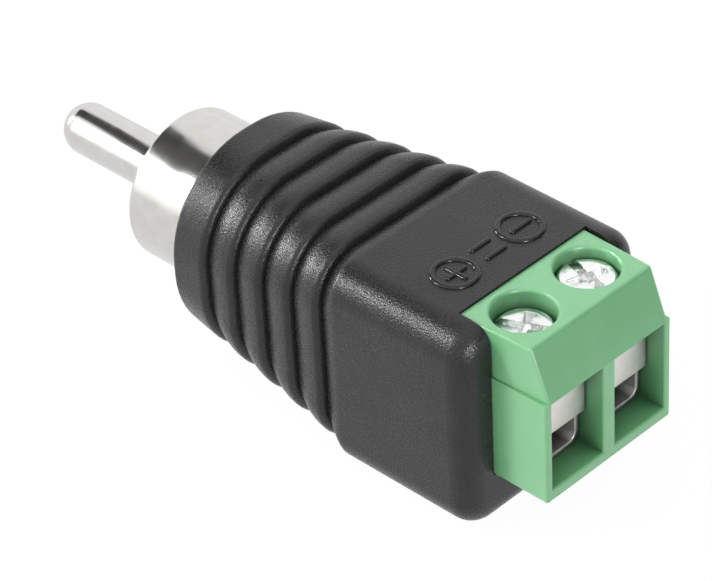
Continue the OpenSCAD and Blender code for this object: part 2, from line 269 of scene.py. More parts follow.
def mouldedBlack(name, depth, matt, gloss):
    # grain that swings between matt and glossy
    material, tree, shader, coords = newMaterial(name)
    pebbles = noise(tree, coords, 0.11 * mm)
    cloud = noise(tree, coords, 2.5 * mm, 3)
    paint = twoTone(tree, cloud, (0.0165, 0.0165, 0.017), (0.0225, 0.0225, 0.023))
    tree.links.new(paint, shader.inputs["Base Color"])
    tree.links.new(spread(tree, pebbles, matt, gloss), shader.inputs["Roughness"])
    shader.inputs["Specular IOR Level"].default_value = 0.4
    bump(tree, pebbles, depth, 0.8, shader)
    return material


def openSky(tree, reach):
    # 1 on an open face, less the more closed in it is
    return addNode(tree, "ShaderNodeAmbientOcclusion", None, {"Distance": reach}, samples=8).outputs["AO"]


# painted shade: a share taken from the occlusion, lowest where a face is most closed in
def paintedHollowShade(tree, sky, shut, clear, least):
    node = addNode(tree, "ShaderNodeMapRange", {"Value": sky},
                   {"From Min": shut, "From Max": clear, "To Min": least, "To Max": 1.0})
    return node.outputs[0]


# scales a colour down by a painted shade share
def withPaintedShade(tree, paint, share):
    return addNode(tree, "ShaderNodeVectorMath", {0: paint, "Scale": share}, operation="SCALE").outputs[0]


def greenNylon():
    material, tree, shader, coords = newMaterial("greenNylon")
    cloud = noise(tree, coords, 1.6 * mm, 3)
    paint = twoTone(tree, cloud, (0.162, 0.482, 0.21), (0.182, 0.512, 0.234))
    # painted shade: the green is darkened, and its coat thinned, in the wire entries and screw wells by how
    # closed in each face is
    sky = openSky(tree, 5 * mm)
    paintedShade = paintedHollowShade(tree, sky, 0.2, 0.55, 0.25)
    tree.links.new(withPaintedShade(tree, paint, paintedShade), shader.inputs["Base Color"])
    tree.links.new(paintedHollowShade(tree, sky, 0.45, 0.8, 0.1), shader.inputs["Coat Weight"])
    tree.links.new(spread(tree, cloud, 0.44, 0.54), shader.inputs["Roughness"])
    shader.inputs["Coat Roughness"].default_value = 0.25
    shader.inputs["Coat IOR"].default_value = 1.7
    shader.inputs["Subsurface Weight"].default_value = 0.1
    shader.inputs["Subsurface Radius"].default_value = (0.35, 1.0, 0.45)
    shader.inputs["Subsurface Scale"].default_value = 0.3 * mm
    bump(tree, noise(tree, coords, 0.3 * mm, 2), 0.004 * mm, 0.35, shader)
    return material


def brightNickel():
    material, tree, shader, coords = newMaterial("brightNickel")
    wear = noise(tree, coords, 0.8 * mm, 4)
    lines = noise(tree, coords, 0.12 * mm, 2, 0.5, (0.05, 1, 1))
    tree.links.new(twoTone(tree, wear, (0.67, 0.655, 0.625), (0.72, 0.705, 0.68)), shader.inputs["Base Color"])
    tree.links.new(spread(tree, wear, 0.14, 0.2), shader.inputs["Roughness"])
    shader.inputs["Metallic"].default_value = 1
    bump(tree, lines, 0.0006 * mm, 0.3, shader)
    return material


def cageSteel():
    material, tree, shader, coords = newMaterial("cageSteel")
    lines = noise(tree, coords, 0.14 * mm, 3, 0.6, (1, 0.12, 1))
    paint = twoTone(tree, lines, (0.8, 0.765, 0.75), (0.88, 0.845, 0.83))
    # painted shade: the steel is darkened where it is closed in, so the insides of the cage windows read dark
    paintedShade = paintedHollowShade(tree, openSky(tree, 3 * mm), 0.3, 0.6, 0.05)
    tree.links.new(withPaintedShade(tree, paint, paintedShade), shader.inputs["Base Color"])
    tree.links.new(spread(tree, lines, 0.5, 0.62), shader.inputs["Roughness"])
    shader.inputs["Metallic"].default_value = 0.9
    bump(tree, lines, 0.003 * mm, 0.4, shader)
    return material


def screwZinc():
    material, tree, shader, coords = newMaterial("screwZinc")
    ripple = noise(tree, coords, 0.35 * mm, 4, 0.6)
    tree.links.new(twoTone(tree, ripple, (0.93, 0.93, 0.935), (0.98, 0.98, 0.98)), shader.inputs["Base Color"])
    tree.links.new(spread(tree, ripple, 0.14, 0.26), shader.inputs["Roughness"])
    shader.inputs["Metallic"].default_value = 1
    bump(tree, ripple, 0.03 * mm, 0.6, shader)
    return material


def plainFinish(name, dark, light, size, rough, metallic=0.0, depth=0.004 * mm):
    material, tree, shader, coords = newMaterial(name)
    cloud = noise(tree, coords, size, 3)
    tree.links.new(twoTone(tree, cloud, dark, light), shader.inputs["Base Color"])
    tree.links.new(spread(tree, cloud, rough - 0.05, rough + 0.05), shader.inputs["Roughness"])
    shader.inputs["Metallic"].default_value = metallic
    bump(tree, cloud, depth, 0.4, shader)
    return material


blackPlastic = mouldedBlack("grainedBlack", 0.038 * mm, 0.45, 0.08)
smoothBlack = mouldedBlack("smoothBlack", 0.004 * mm, 0.17, 0.13)
greenPlastic = greenNylon()
nickel = brightNickel()
steel = cageSteel()
zinc = screwZinc()
print("materials made")

# Camera at the photograph's angle, for an image of 712 by 581

photoView = {
    "azimuth": 45.828, "elevation": 36.995, "roll": -3.202,
    "aim": (6.515 * mm, 1.52 * mm, -2.924 * mm), "distance": 205.38 * mm, "lens": 182.73,
}


def makeCamera(view):
    turn, rise, tilt = (math.radians(view[k]) for k in ("azimuth", "elevation", "roll"))
    back = Vector((math.sin(turn) * math.cos(rise), -math.cos(turn) * math.cos(rise), math.sin(rise)))
    level = Vector((math.cos(turn), math.sin(turn), 0))
    upright = back.cross(level)
    right = math.cos(tilt) * level + math.sin(tilt) * upright
    up = math.cos(tilt) * upright - math.sin(tilt) * level
    camera = link(bpy.data.objects.new("photoCamera", bpy.data.cameras.new("photoCamera")))
    camera.data.lens = view["lens"]
    camera.data.clip_start = 0.01
    pose = Matrix((right, up, back)).transposed().to_4x4()
    pose.translation = Vector(view["aim"]) + view["distance"] * back
    camera.matrix_world = pose
    scene.camera = camera


makeCamera(photoView)
print("camera placed")

# Housing: collar, ribs and box are one ribbed sweep, cut for the shell, the leads and the terminal block

housingLow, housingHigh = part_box("housing")
shellLow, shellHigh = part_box("ground_shell")
blockLow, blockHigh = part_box("terminal_block")
insulatorLow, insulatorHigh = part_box("pin_insulator")
fitGap = 0.03 * mm

housingSizes = {
    "Length": housingHigh.x - housingLow.x,
    "Box width": housingHigh.y - housingLow.y,
    "Box height": housingHigh.z - housingLow.z,
    "Box middle": (housingHigh.z + housingLow.z) / 2,
    "Collar radius": 6.405 * mm,
    "Collar flat": 0.4 * mm,
    "Collar length": 2.75 * mm,
    "Collar rounding": 0.3 * mm,
    "Ribs": 4,
    "Rib pitch": 2.35 * mm,
    "Rib shoulder": 0.5 * mm,
    "Rib flat": 0.15 * mm,
    "Groove depth": 0.5 * mm,
    "Rib corner": 3.2 * mm,
    "Box corner": 2.0 * mm,
    "Box front": 1.4 * mm,
    "Box rounding": 1.4 * mm,
}
housingMesh = {"edgeRows": 8, "bodyRows": 426, "cornerPoints": 16}


def sweptSkin(tree, size):
    def op(kind, *values):
        return calc(tree, kind, *values)

    def mix(a, b, t):
        return op("ADD", a, op("MULTIPLY", op("SUBTRACT", b, a), t))

    def share(value, whole):
        return calc(tree, "DIVIDE", value, whole, clamp=True)

    edge, body, corner = (housingMesh[k] for k in ("edgeRows", "bodyRows", "cornerPoints"))
    rows = 2 * edge + body + 3  # a pole row at each end closes the skin
    columns = 4 * corner + 1
    grid = addNode(tree, "GeometryNodeMeshGrid", None, {
        "Size X": rows - 1, "Size Y": columns - 1, "Vertices X": rows, "Vertices Y": columns})
    spot = addNode(tree, "ShaderNodeSeparateXYZ", {0: tree.nodes.new("GeometryNodeInputPosition").outputs[0]})
    row = op("ADD", spot.outputs[0], (rows - 1) / 2 - 1)
    ring = op("MODULO", op("ADD", spot.outputs[1], (columns - 1) / 2), 4 * corner)

    # stations along X, with the rounded ends stepped by angle
    quarter = math.pi / 2
    front = op("MULTIPLY", share(row, edge), quarter)
    along = share(op("SUBTRACT", row, edge), body)
    rear = op("MULTIPLY", share(op("SUBTRACT", row, edge + body), edge), quarter)
    straight = op("SUBTRACT", op("SUBTRACT", size["Length"], size["Collar rounding"]), size["Box rounding"])
    x = op("ADD", op("MULTIPLY", size["Collar rounding"], op("SUBTRACT", 1, op("COSINE", front))),
           op("ADD", op("MULTIPLY", along, straight), op("MULTIPLY", size["Box rounding"], op("SINE", rear))))
    ends = op("ADD", op("MULTIPLY", size["Collar rounding"], op("SUBTRACT", 1, op("SINE", front))),
              op("MULTIPLY", size["Box rounding"], op("SUBTRACT", 1, op("COSINE", rear))))

    # grooves: a tight round shoulder drops into each, the next rib rises gently out of it
    fromCollar = op("SUBTRACT", x, size["Collar length"])
    started = op("FLOOR", op("DIVIDE", op("ADD", fromCollar, size["Rib shoulder"]), size["Rib pitch"]))
    nearest = op("MINIMUM", op("MAXIMUM", started, 0), size["Ribs"])
    off = op("SUBTRACT", fromCollar, op("MULTIPLY", nearest, size["Rib pitch"]))
    ribRise = op("SUBTRACT", op("SUBTRACT", size["Rib pitch"], size["Rib flat"]), size["Rib shoulder"])
    rise = mix(ribRise, size["Box front"], op("COMPARE", nearest, size["Ribs"], 0.5))
    before = op("SUBTRACT", 1, share(op("MULTIPLY", off, -1), size["Rib shoulder"]))
    drop = op("SUBTRACT", 1, op("SQRT", op("SUBTRACT", 1, op("MULTIPLY", before, before))))
    after = op("SUBTRACT", 1, share(off, rise))
    climb = op("MULTIPLY", after, after)
    groove = op("MULTIPLY", size["Groove depth"], mix(drop, climb, op("GREATER_THAN", off, 0)))
    inset = op("ADD", ends, groove)

    # section: nearly round at the collar, squarer from rib to rib, then the box's own
    boxStart = op("ADD", size["Collar length"], op("MULTIPLY", size["Ribs"], size["Rib pitch"]))
    t = share(x, boxStart)
    past = share(op("SUBTRACT", x, boxStart), size["Box front"])
    eased = op("MULTIPLY", op("MULTIPLY", past, past), op("SUBTRACT", 3, op("MULTIPLY", 2, past)))
    halfWidth = op("SUBTRACT", mix(size["Collar radius"], op("DIVIDE", size["Box width"], 2), t), inset)
    halfHeight = op("SUBTRACT", mix(size["Collar radius"], op("DIVIDE", size["Box height"], 2), t), inset)
    ribRadius = mix(op("SUBTRACT", size["Collar radius"], size["Collar flat"]), size["Rib corner"], t)
    radius = op("SUBTRACT", mix(ribRadius, size["Box corner"], eased), inset)
    middle = op("MULTIPLY", size["Box middle"], t)
    side = op("FLOOR", op("DIVIDE", op("ADD", ring, 0.25), corner))
    step = op("DIVIDE", op("SUBTRACT", ring, op("MULTIPLY", side, corner)), corner - 1)
    angle = op("MULTIPLY", op("ADD", side, step), quarter)
    facing = op("MULTIPLY", op("ADD", side, 0.5), quarter)
    isOpen = op("MULTIPLY", op("GREATER_THAN", row, -0.5), op("LESS_THAN", row, rows - 2.5))
    y = op("ADD", op("MULTIPLY", op("SIGN", op("COSINE", facing)), op("SUBTRACT", halfWidth, radius)),
           op("MULTIPLY", radius, op("COSINE", angle)))
    z = op("ADD", op("MULTIPLY", op("SIGN", op("SINE", facing)), op("SUBTRACT", halfHeight, radius)),
           op("MULTIPLY", radius, op("SINE", angle)))
    spotNew = addNode(tree, "ShaderNodeCombineXYZ", {
        0: x, 1: op("MULTIPLY", y, isOpen), 2: op("ADD", middle, op("MULTIPLY", z, isOpen))})
    moved = addNode(tree, "GeometryNodeSetPosition",
                    {"Geometry": grid.outputs[0], "Position": spotNew.outputs[0]})
    merged = addNode(tree, "GeometryNodeMergeByDistance",
                     {"Geometry": moved.outputs[0]}, {"Distance": weldGap})
    return merged.outputs[0]


def boxBetween(tree, low, high):
    low, high = Vector(low), Vector(high)
    cube = addNode(tree, "GeometryNodeMeshCube", None, {"Size": high - low})
    moved = addNode(tree, "GeometryNodeTransform",
                    {"Geometry": cube.outputs[0]}, {"Translation": (low + high) / 2})
    return moved.outputs[0]


def rodAlongX(tree, start, end, radius):
    rod = addNode(tree, "GeometryNodeMeshCylinder", None,
                  {"Vertices": 96, "Radius": radius, "Depth": end - start})
    moved = addNode(tree, "GeometryNodeTransform", {"Geometry": rod.outputs[0]}, {
        "Translation": ((start + end) / 2, 0, 0), "Rotation": (0, math.pi / 2, 0)})
    return moved.outputs[0]


def makeHousing():
    hollow = {
        "past": 1 * mm, "lip": 0.5 * mm, "shellBack": insulatorHigh.x + fitGap + 0.5 * mm,
        "stop": 0.7 * mm, "roof": 1.75 * mm, "chamber": 11 * mm, "tuck": 0.95 * mm,
    }
    tree, size, output = newTree("ribbedHousing", housingSizes)
    shellRadius = shellHigh.z
    pocketY = blockHigh.y + fitGap
    chamberY = blockHigh.y - hollow["stop"]
    chamberX = blockLow.x - hollow["chamber"]
    ledge = housingHigh.z - hollow["roof"]
    beyond = housingHigh.x + hollow["past"]
    cutters = [
        rodAlongX(tree, -hollow["past"], hollow["shellBack"] + fitGap, shellRadius + fitGap),
        rodAlongX(tree, hollow["shellBack"], chamberX + hollow["past"], shellRadius - hollow["lip"]),
        boxBetween(tree, (chamberX, -chamberY, blockLow.z + hollow["stop"]), (blockLow.x, chamberY, ledge)),
        boxBetween(tree, (blockLow.x - fitGap, -pocketY, blockLow.z - fitGap),
                   (beyond, pocketY, ledge + fitGap)),
        boxBetween(tree, (blockLow.x + hollow["tuck"] - fitGap, -pocketY, ledge),
                   (beyond, pocketY, housingHigh.z + hollow["past"])),
    ]
    shape = sweptSkin(tree, size)
    for cutter in cutters:
        cut = addNode(tree, "GeometryNodeMeshBoolean", None, None, operation="DIFFERENCE", solver="EXACT")
        tree.links.new(shape, cut.inputs[0])
        tree.links.new(cutter, cut.inputs[1])
        shape = cut.outputs[0]
    closeTree(tree, shape, blackPlastic, output)
    housing = meshFromTree(tree, "ribbedHousing", housingSizes)
    return smoothShade(housing, 40)


housing = makeHousing()
place(housing, "body", "housing_plastic", "housing")
print("housing made:", len(housing.data.polygons), "faces")

# Raised polarity marks on the roof

markSizes = {
    "Ring radius": 1.23 * mm,
    "Line width": 0.37 * mm,
    "Line height": 0.15 * mm,
}
markPlaces = {
    "rings": [(18.35 * mm, -2.64 * mm), (18.2 * mm, 2.67 * mm)],
    "strokes": [
        ((17.78 * mm, -2.6 * mm), (19.0 * mm, -2.6 * mm)),
        ((18.39 * mm, -3.22 * mm), (18.39 * mm, -1.98 * mm)),
        ((18.17 * mm, 2.1 * mm), (18.17 * mm, 3.42 * mm)),
        ((17.67 * mm, -0.57 * mm), (17.67 * mm, 0.68 * mm)),
        ((18.77 * mm, -0.52 * mm), (18.77 * mm, 0.74 * mm)),
    ],
}


def makeMarks():
    tree, size, output = newTree("polarityMarks", markSizes)
    half = calc(tree, "DIVIDE", size["Line width"], 2)
    lines, dots = [], []
    for x, y in markPlaces["rings"]:
        ring = addNode(tree, "GeometryNodeCurvePrimitiveCircle",
                       {"Radius": size["Ring radius"]}, {"Resolution": 72})
        moved = addNode(tree, "GeometryNodeTransform", {"Geometry": ring.outputs[0]}, {"Translation": (x, y, 0)})
        lines.append(moved.outputs[0])
    for start, end in markPlaces["strokes"]:
        line = addNode(tree, "GeometryNodeCurvePrimitiveLine", None, {"Start": (*start, 0), "End": (*end, 0)})
        lines.append(line.outputs[0])
        ball = addNode(tree, "GeometryNodeMeshUVSphere", {"Radius": half}, {"Segments": 16, "Rings": 8})
        ends = addNode(tree, "GeometryNodeInstanceOnPoints",
                       {"Points": line.outputs[0], "Instance": ball.outputs[0]})
        dots.append(ends.outputs[0])
    paths = tree.nodes.new("GeometryNodeJoinGeometry")
    for line in lines:
        tree.links.new(line, paths.inputs[0])
    profile = addNode(tree, "GeometryNodeCurvePrimitiveCircle", {"Radius": half}, {"Resolution": 16})
    ridges = addNode(tree, "GeometryNodeCurveToMesh",
                     {"Curve": paths.outputs[0], "Profile Curve": profile.outputs[0]})
    whole = tree.nodes.new("GeometryNodeJoinGeometry")
    for part in [ridges.outputs[0], *dots]:
        tree.links.new(part, whole.inputs[0])
    squash = calc(tree, "DIVIDE", size["Line height"], half)
    flat = addNode(tree, "ShaderNodeCombineXYZ", {2: squash}, {0: 1, 1: 1})
    laid = addNode(tree, "GeometryNodeTransform", {"Geometry": whole.outputs[0], "Scale": flat.outputs[0]},
                   {"Translation": (0, 0, housingHigh.z)})
    closeTree(tree, laid.outputs[0], smoothBlack, output)
    return smoothShade(meshFromTree(tree, "polarityMarks", markSizes), 60)


marks = makeMarks()
place(marks, "body", "housing_plastic")
print("polarity marks made:", len(marks.data.polygons), "faces")

# Shell and pin, turned about the plug axis

plugSizes = {
    "wall": 0.5 * mm, "lipWidth": 1.2 * mm, "lipThick": 0.5 * mm,
    "tabWidth": 2.4 * mm, "tabThick": 0.5 * mm,
    "pin": 1.6 * mm, "neck": 1.3 * mm, "flange": 2.1 * mm, "flangeThick": 0.7 * mm,
    "cup": 1.1 * mm, "cupHole": 0.6 * mm, "cupDepth": 2.4 * mm, "edge": 0.06 * mm,
}


def makeShell(sizes):
    outer = shellHigh.z
    inner = outer - sizes["wall"]
    lipX = insulatorHigh.x + fitGap
    backX = lipX + sizes["lipThick"]
    rim = arc(shellLow.x + sizes["wall"] / 2, outer - sizes["wall"] / 2, sizes["wall"] / 2, 270, 90, 16)
    profile = rim + [(backX, outer), (backX, inner - sizes["lipWidth"]), (lipX, inner - sizes["lipWidth"]),
                     (lipX, inner), rim[0]]
    shell = turned("groundShell", profile)
    tabY = inner - sizes["lipWidth"] / 2
    low = Vector((lipX + fitGap, tabY - sizes["tabThick"] / 2, -sizes["tabWidth"] / 2))
    high = Vector((shellHigh.x, tabY + sizes["tabThick"] / 2, sizes["tabWidth"] / 2))
    softenEdges(joinMeshes(shell, plainBox("solderTab", low, high)), sizes["edge"])
    return smoothShade(dress(shell, nickel))


def makePin(sizes):
    low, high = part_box("centre_pin")
    radius = sizes["pin"]
    stop = insulatorLow.x - fitGap
    flangeX = insulatorHigh.x + fitGap
    profile = arc(low.x + radius, 0, radius, 180, 90, 24) + [
        (stop, radius), (stop, sizes["neck"]), (flangeX, sizes["neck"]), (flangeX, sizes["flange"]),
        (flangeX + sizes["flangeThick"], sizes["flange"]), (flangeX + sizes["flangeThick"], sizes["cup"]),
        (high.x, sizes["cup"]), (high.x, sizes["cupHole"]),
        (high.x - sizes["cupDepth"], sizes["cupHole"]), (high.x - sizes["cupDepth"], 0)]
    pin = softenEdges(turned("centrePin", profile), sizes["edge"])
    return smoothShade(dress(pin, nickel))


shell = makeShell(plugSizes)
place(shell, "body", "nickel_plate", "ground_shell")
pin = makePin(plugSizes)
place(pin, "body", "nickel_plate", "centre_pin")
print("shell and pin made:", len(shell.data.polygons), len(pin.data.polygons), "faces")

# Terminal block: a rounded block with a sloping face, cut by cutters that flare at their mouths

blockSizes = {
    "pitch": 5.0 * mm, "entryWidth": 4.05 * mm, "floor": 0.72 * mm, "back": 0.72 * mm,
    "slopeRun": 1.2 * mm, "slopeDrop": 3.05 * mm, "sideDraw": 0.24 * mm,
    "tuck": 0.95 * mm, "roof": 1.75 * mm, "chamberDrop": 2.98 * mm,
    "lipDrop": 0.14 * mm, "lipThick": 0.62 * mm,
    "wellRadius": 1.8 * mm, "wellDepth": 2.23 * mm, "shankHole": 1.35 * mm, "screwBack": 3.7 * mm,
    "slotWidth": 2.46 * mm, "slotLow": -0.76 * mm, "slotHigh": -0.35 * mm,
    "edge": 0.18 * mm, "mouthEdge": 0.14 * mm, "wellEdge": 0.22 * mm,
    "past": 1 * mm, "lap": 0.5 * mm, "step": 0.004 * mm,
}


def roundedPrism(name, outline, halfWidth, rounded, edge):
    # a side outline in XZ drawn out to both sides, with the named edges rounded
    shape = bmesh.new()
    sides = [{k: shape.verts.new((x, way * halfWidth(x), z)) for k, (x, z) in outline.items()}
             for way in (-1, 1)]
    corners = list(outline)
    for side in sides:
        shape.faces.new(list(side.values()))
    for a, b in zip(corners, corners[1:] + corners[:1]):
        shape.faces.new([sides[0][a], sides[0][b], sides[1][b], sides[1][a]])
    pairs = [(side[k[0]], side[k[1]]) for side in sides for k in rounded if len(k) == 2]
    pairs += [(sides[0][k], sides[1][k]) for k in rounded if len(k) == 1]
    bmesh.ops.bevel(shape, geom=[shape.edges.get(pair) for pair in pairs], offset=edge, segments=4,
                    profile=0.5, affect="EDGES", offset_type="OFFSET", clamp_overlap=True)
    return meshFromShape(name, shape)


def blockBody(sizes):
    # the foot and entries below, the drawn-in head with its slope above
    front, back, top, low, half = blockHigh.x, blockLow.x, blockHigh.z, blockLow.z, blockHigh.y
    topBack, ledge, foot = back + sizes["tuck"], top - sizes["roof"], top - sizes["slopeDrop"]
    inner, face = topBack + sizes["lap"], front - sizes["step"]
    base = {"a": (back, low), "b": (front, low), "c": (front, foot),
            "d": (inner, foot), "e": (inner, ledge), "f": (back, ledge)}
    head = {"a": (topBack, foot - sizes["lap"]), "b": (face, foot - sizes["lap"]), "c": (face, foot),
            "d": (front - sizes["slopeRun"], top), "e": (topBack, top)}

    def drawn(x):
        return half - sizes["step"] - sizes["sideDraw"] * (x - topBack) / (front - topBack)

    body = roundedPrism("terminalBlock", base, lambda x: half, ["ab", "bc", "a", "b"], sizes["edge"])
    return combine(body, "UNION", roundedPrism("blockHead", head, drawn, ["cd", "de", "d"], sizes["edge"]))


def entryCutter(name, low, high, ceiling, sizes):
    # chamber and wire entry in one, opening at +X with a quarter round
    flare, steps = sizes["mouthEdge"], 4
    lipBack = high.x - sizes["lipThick"]
    stations = [(low.x, 0, ceiling), (lipBack, 0, ceiling), (lipBack, 0, high.z)]
    for i in range(steps + 1):
        turn = math.pi / 2 * i / steps
        grow = flare * (1 - math.cos(turn))
        stations.append((high.x - flare * (1 - math.sin(turn)), grow, high.z + grow))
    stations.append((high.x + flare, flare, high.z + flare))
    shape = bmesh.new()
    rings = []
    for x, grow, roof in stations:
        corners = [(low.y - grow, low.z - grow), (high.y + grow, low.z - grow),
                   (high.y + grow, roof), (low.y - grow, roof)]
        rings.append([shape.verts.new((x, y, z)) for y, z in corners])
    for a, b in zip(rings, rings[1:]):
        for i in range(4):
            shape.faces.new([a[i], a[(i + 1) % 4], b[(i + 1) % 4], b[i]])
    shape.faces.new(rings[0])
    shape.faces.new(rings[-1])
    bmesh.ops.remove_doubles(shape, verts=shape.verts, dist=weldGap)  # also drops the faces without area
    return meshFromShape(name, shape)


def wellCutter(name, spot, top, sizes):
    # a stepped hole for the screw, flared at the top
    flare, steps = sizes["wellEdge"], 5
    low, floor = top - sizes["chamberDrop"] - sizes["past"], top - sizes["wellDepth"]
    profile = [(0, low), (sizes["shankHole"], low), (sizes["shankHole"], floor), (sizes["wellRadius"], floor)]
    for i in range(steps + 1):
        turn = math.pi / 2 * i / steps
        profile.append((sizes["wellRadius"] + flare * (1 - math.cos(turn)),
                        top - flare * (1 - math.sin(turn))))
    profile += [(sizes["wellRadius"] + flare, top + flare), (0, top + flare)]
    return spun(name, [(r, 0, z) for r, z in profile], (0, 0, 1), 72, spot)


def combine(piece, operation, *others):
    for other in others:
        modifier = piece.modifiers.new(other.name, "BOOLEAN")
        modifier.operation = operation
        modifier.solver = "EXACT"
        modifier.object = other
    applyModifiers(piece)
    for other in others:
        bpy.data.objects.remove(other)
    return piece


def makeBlock(sizes):
    top, front, pocket = blockHigh.z, blockHigh.x, blockLow.x + sizes["back"]
    floor, ceiling = blockLow.z + sizes["floor"], top - sizes["chamberDrop"]
    lip = top - sizes["slopeDrop"] - sizes["lipDrop"]
    cutters = []
    for side in (-1, 1):
        middle = side * sizes["pitch"] / 2
        entryLow = Vector((pocket, middle - sizes["entryWidth"] / 2, floor))
        entryHigh = Vector((front, middle + sizes["entryWidth"] / 2, lip))
        slotLow = Vector((blockLow.x - sizes["past"], middle - sizes["slotWidth"] / 2, sizes["slotLow"]))
        slotHigh = Vector((pocket + sizes["past"], middle + sizes["slotWidth"] / 2, sizes["slotHigh"]))
        cutters += [
            entryCutter("entryCut", entryLow, entryHigh, ceiling, sizes),
            plainBox("slotCut", slotLow, slotHigh),
            wellCutter("wellCut", (front - sizes["screwBack"], middle, 0), top, sizes),
        ]
    block = combine(blockBody(sizes), "DIFFERENCE", *cutters)
    dress(smoothShade(block, 35), greenPlastic)
    block.modifiers.new("even light", "WEIGHTED_NORMAL").keep_sharp = True
    return applyModifiers(block)


block = makeBlock(blockSizes)
place(block, "body", "terminal_plastic", "terminal_block")
print("terminal block made:", len(block.data.polygons), "faces")

# Cages: stamped edges on the CAD form

stampedEdges = {"cage": 0.05 * mm, "screw": 0.05 * mm}
for side in ("plus", "minus"):
    cage = softenEdges(cadCopy("cage_" + side, side + "Cage"), stampedEdges["cage"], 2)
    place(smoothShade(dress(cage, steel)), side + "_cage", "cage_steel", "cage_" + side)
print("cages made")

# Clamp screws: the CAD head on a core with a rolled thread

threadSizes = {
    "Core radius": 0.98 * mm,
    "Crest radius": 1.24 * mm,
    "Pitch": 0.45 * mm,
    "Length": 3.4 * mm,
}
screwSizes = {"underHead": 1.19 * mm, "shankLeast": 0.1 * mm, "shankMost": 1.3 * mm}


def threadTree():
    tree, size, output = newTree("rolledThread", threadSizes)
    turns = calc(tree, "DIVIDE", size["Length"], size["Pitch"])
    depth = calc(tree, "SUBTRACT", size["Crest radius"], size["Core radius"])
    middle = calc(tree, "ADD", size["Core radius"], calc(tree, "MULTIPLY", depth, 1 / 3))
    spiral = addNode(tree, "GeometryNodeCurveSpiral", {
        "Rotations": turns, "Start Radius": middle, "End Radius": middle, "Height": size["Length"]},
        {"Resolution": 32})
    ridge = addNode(tree, "GeometryNodeCurvePrimitiveCircle", {"Radius": calc(tree, "MULTIPLY", depth, 2 / 3)},
                    {"Resolution": 6})
    swept = addNode(tree, "GeometryNodeCurveToMesh",
                    {"Curve": spiral.outputs[0], "Profile Curve": ridge.outputs[0]}, {"Fill Caps": True})
    closeTree(tree, swept.outputs[0], zinc, output)
    return tree


def makeScrew(tree, side):
    piece = cadCopy("screw_" + side, side + "Screw")
    low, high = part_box("screw_" + side)
    axis = (low + high) / 2
    shape = bmesh.new()
    shape.from_mesh(piece.data)
    for vert in shape.verts:
        offset = Vector((vert.co.x - axis.x, vert.co.y - axis.y))
        inShank = screwSizes["shankLeast"] < offset.length < screwSizes["shankMost"]
        if inShank and vert.co.z < high.z - screwSizes["underHead"]:
            offset *= threadSizes["Core radius"] / offset.length
            vert.co.x, vert.co.y = axis.x + offset.x, axis.y + offset.y
    shape.to_mesh(piece.data)
    shape.free()
    softenEdges(piece, stampedEdges["screw"], 2)
    thread = meshFromTree(tree, side + "Thread", threadSizes)
    thread.data.transform(Matrix.Translation((axis.x, axis.y, low.z + threadSizes["Pitch"] / 2)))
    joinMeshes(piece, thread)
    return smoothShade(dress(piece, zinc))


rolledThread = threadTree()
for side in ("plus", "minus"):
    place(makeScrew(rolledThread, side), side + "_screw", "screw_zinc", "screw_" + side)
print("screws made")

# Inner pieces keep their CAD form

innerFinishes = {
    "pin_insulator": plainFinish("insulatorIvory", (0.68, 0.66, 0.6), (0.76, 0.74, 0.68), 0.7 * mm, 0.45),
    "contact": plainFinish("tinnedStrip", (0.6, 0.585, 0.56), (0.7, 0.685, 0.66), 0.4 * mm, 0.3, 1.0),
    "core": plainFinish("bareCopper", (0.62, 0.27, 0.13), (0.75, 0.36, 0.19), 0.3 * mm, 0.3, 1.0),
    "signal_sleeve": plainFinish("redSleeve", (0.38, 0.025, 0.02), (0.46, 0.035, 0.03), 0.8 * mm, 0.4),
    "ground_sleeve": plainFinish("blackSleeve", (0.018, 0.018, 0.018), (0.028, 0.028, 0.028), 0.8 * mm, 0.4),
    "solder": plainFinish("solderGrey", (0.5, 0.51, 0.53), (0.62, 0.63, 0.65), 0.3 * mm, 0.28, 1.0),
}
for name, finish in innerFinishes.items():
    for node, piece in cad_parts.items():
        if name in node:
            dress(piece, finish)
print("inner pieces dressed")

# Studio: pale floor, white surround, three soft boxes, and dark cards that only reflections see

studio = {
    "ambient": 0.85,
    "floorSize": 4.0,
    "floorTone": 0.7,
    "floorDrop": 0.02 * mm,
    "floorGlow": (0.9, 1.03),
    "cardTone": (0.03, 0.03, 0.028),
    "shadowShare": 0.06,
    "topPanel": {"toward": (0.1, -0.15, 1.0), "distance": 0.35, "size": (0.3, 0.3), "power": 0.05},
    "softBoxes": {
        "leftBox": {"toward": (-0.62, -0.68, 0.33), "size": 0.36, "lights": True, "glows": [
            {"spot": (-0.005, 0.064), "radius": (0.029, 0.029), "strength": 45.0},
            {"spot": (0, 0.01), "radius": (0.07, 0.085), "strength": 1.1}]},
        "flankBox": {"toward": (-0.95, -0.245, 0.195), "size": 0.16, "lights": False, "glows": [
            {"spot": (0, 0), "radius": (0.013, 0.03), "strength": 54.0}]},
        "rimBox": {"toward": (0.87, -0.36, 0.32), "size": 0.16, "lights": False, "glows": [
            {"spot": (0, 0), "radius": (0.03, 0.03), "strength": 32.0}]},
    },
    "softBoxDistance": 0.26,
    "bandCard": [(-40, y, z) for y, z in (
        (8, 17), (9, 30), (11.8, 32.3), (13.3, 36), (11.6, 39.5), (9, 46), (5.5, 50.1), (2.5, 53), (2, 60),
        (15, 75), (30, 110), (-75, 110), (-55, 77), (-41, 59), (-37, 42), (-40, 35), (-33, 35), (-26, 35.5),
        (-19.8, 35), (-14.7, 34.4), (-12, 33.2), (-10.6, 31.7), (-8, 17))],
    "slopeCard": [(120, 10, -6), (120, 10, 90), (50, 110, 90), (50, 110, -6)],
}


def seenDirectly(tree):
    path = tree.nodes.new("ShaderNodeLightPath")
    seen = calc(tree, "MAXIMUM", path.outputs["Is Camera Ray"], path.outputs["Is Glossy Ray"])
    return calc(tree, "MAXIMUM", seen, path.outputs["Is Transmission Ray"])


